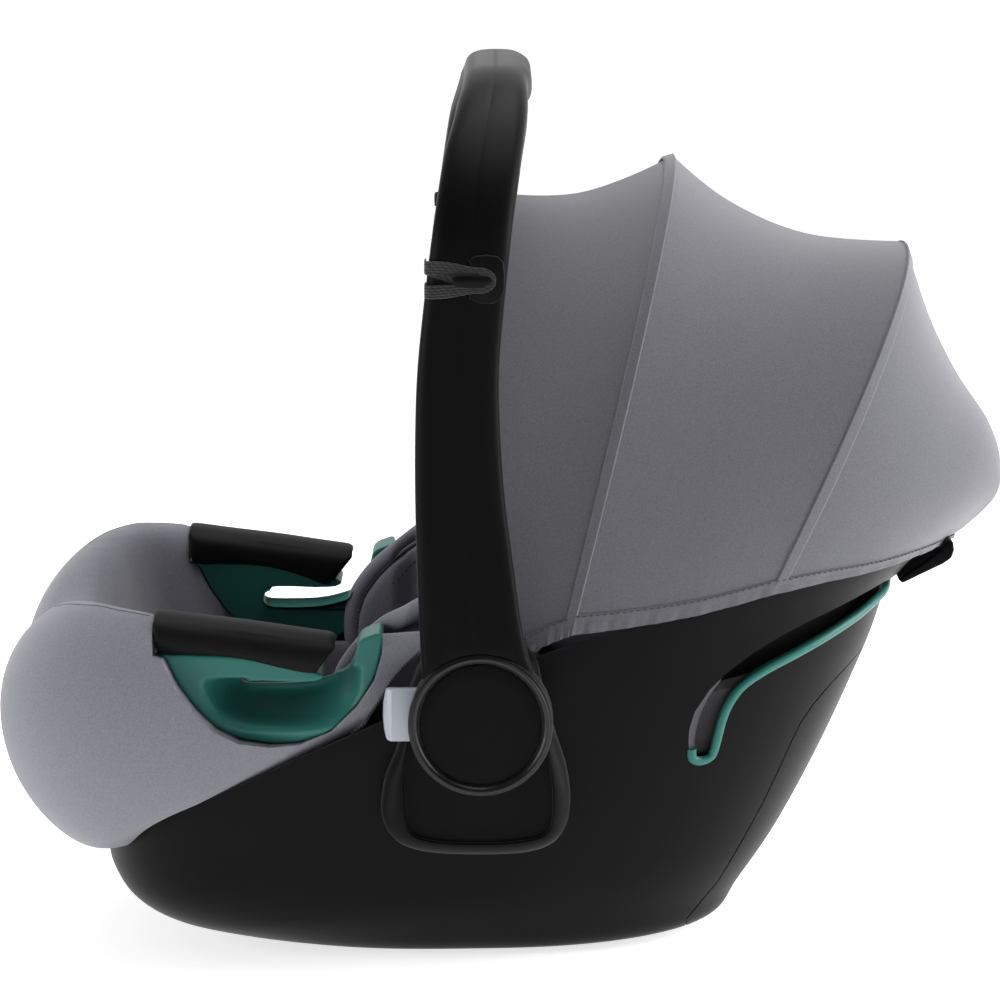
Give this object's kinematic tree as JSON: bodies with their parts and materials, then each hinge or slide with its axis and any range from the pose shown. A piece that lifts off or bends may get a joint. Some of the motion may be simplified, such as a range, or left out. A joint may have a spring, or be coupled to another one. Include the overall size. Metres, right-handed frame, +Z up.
{
  "type": "infant car seat",
  "caption": "Bowl-shaped infant carrier seat with a U-shaped swinging carry handle, a hooped folding canopy, padded side walls, belt guides and a harness.",
  "frame": {"origin": "middle of the whole object's box, on the ground", "axes": "+X towards the head end, +Y towards the child's right hand, +Z up"},
  "size_m": [0.6696, 0.4588, 0.597],
  "materials": {
    "shell_plastic": "satin black moulded polypropylene",
    "handle_plastic": "satin black moulded plastic",
    "cap_plastic": "fine matte black",
    "liner_foam": "moulded bead foam",
    "guide_green": "satin teal-green plastic",
    "cover_fabric": "fine grey knit",
    "canopy_fabric": "fine grey knit, stretched",
    "soft_pad": "soft-touch black",
    "button_plastic": "satin light blue-grey plastic",
    "steel": "zinc-plated steel",
    "bow_plastic": "black acetal",
    "webbing": "woven polyester webbing",
    "elastic": "ribbed woven elastic",
    "buckle_red": "glossy red plastic"
  },
  "bodies": {
    "carrier": {"outer_shell": "shell_plastic", "rear_cover_panel": "shell_plastic", "foam_liner": "liner_foam", "belt_slot_trim": "guide_green", "side_wall_cover": "cover_fabric", "seat_padding": "cover_fabric", "canopy_middle_panel": "canopy_fabric", "canopy_rear_panel": "canopy_fabric", "canopy_rear_bow": "bow_plastic", "buckle_body": "bow_plastic", "crotch_strap": "webbing", "crotch_pad": "cover_fabric", "adjuster_housing": "bow_plastic", "adjuster_strap": "webbing", "hub_housing_left": "shell_plastic", "housing_plate_left": "shell_plastic", "pivot_shaft_left": "steel", "lock_gear_left": "steel", "lap_belt_guide_left": "guide_green", "arm_pad_left": "soft_pad", "bow_pivot_left": "bow_plastic", "shoulder_strap_left": "webbing", "shoulder_pad_left": "cover_fabric", "hub_housing_right": "shell_plastic", "housing_plate_right": "shell_plastic", "pivot_shaft_right": "steel", "lock_gear_right": "steel", "lap_belt_guide_right": "guide_green", "arm_pad_right": "soft_pad", "bow_pivot_right": "bow_plastic", "shoulder_strap_right": "webbing", "shoulder_pad_right": "cover_fabric"},
    "handle": {"handle_front_half": "handle_plastic", "handle_rear_half": "handle_plastic", "hub_boss_left": "handle_plastic", "hub_cap_left": "cap_plastic", "elastic_loop_left": "elastic", "loop_plate_left": "soft_pad", "loop_peg_left": "soft_pad", "hub_boss_right": "handle_plastic", "hub_cap_right": "cap_plastic", "elastic_loop_right": "elastic", "loop_plate_right": "soft_pad", "loop_peg_right": "soft_pad"},
    "canopy_front": {"canopy_front_bow": "bow_plastic", "canopy_front_panel": "canopy_fabric"},
    "headrest": {"headrest": "cover_fabric"},
    "release_lever": {"release_lever": "shell_plastic"},
    "buckle_button": {"buckle_button": "buckle_red"},
    "adjuster_button": {"adjuster_button": "button_plastic"},
    "release_button_left": {"release_button_left": "button_plastic", "button_spring_left": "steel"},
    "release_button_right": {"release_button_right": "button_plastic", "button_spring_right": "steel"}
  },
  "joints": [
    {"name": "handle_swing", "type": "hinge", "parent": "carrier", "child": "handle", "pos_m": [-0.019, 0, 0.18], "axis": [0, 1, 0], "range_deg": [-105, 0]},
    {"name": "canopy_fold", "type": "hinge", "parent": "carrier", "child": "canopy_front", "pos_m": [0.04, 0, 0.238], "axis": [0, 1, 0], "range_deg": [0, 36], "deforming": ["canopy_middle_panel", "canopy_front_panel"]},
    {"name": "headrest_slide", "type": "slide", "parent": "carrier", "child": "headrest", "axis": [0.5531, 0, 0.8331], "range_m": [0, 0.03]},
    {"name": "release_lever_tilt", "type": "hinge", "parent": "carrier", "child": "release_lever", "pos_m": [0.267, 0, 0.2395], "axis": [0, 1, 0], "range_deg": [0, 18], "stiffness_Nm_per_rad": 0.8},
    {"name": "buckle_button_press", "type": "slide", "parent": "carrier", "child": "buckle_button", "axis": [0, 0, -1], "range_m": [0, 0.003], "stiffness_N_per_m": 900},
    {"name": "adjuster_button_press", "type": "slide", "parent": "carrier", "child": "adjuster_button", "axis": [0, 0, -1], "range_m": [0, 0.002], "stiffness_N_per_m": 700},
    {"name": "release_button_press_left", "type": "slide", "parent": "handle", "child": "release_button_left", "axis": [1, 0, 0], "range_m": [0, 0.006], "stiffness_N_per_m": 600},
    {"name": "release_button_press_right", "type": "slide", "parent": "handle", "child": "release_button_right", "axis": [1, 0, 0], "range_m": [0, 0.006], "stiffness_N_per_m": 600}
  ]
}
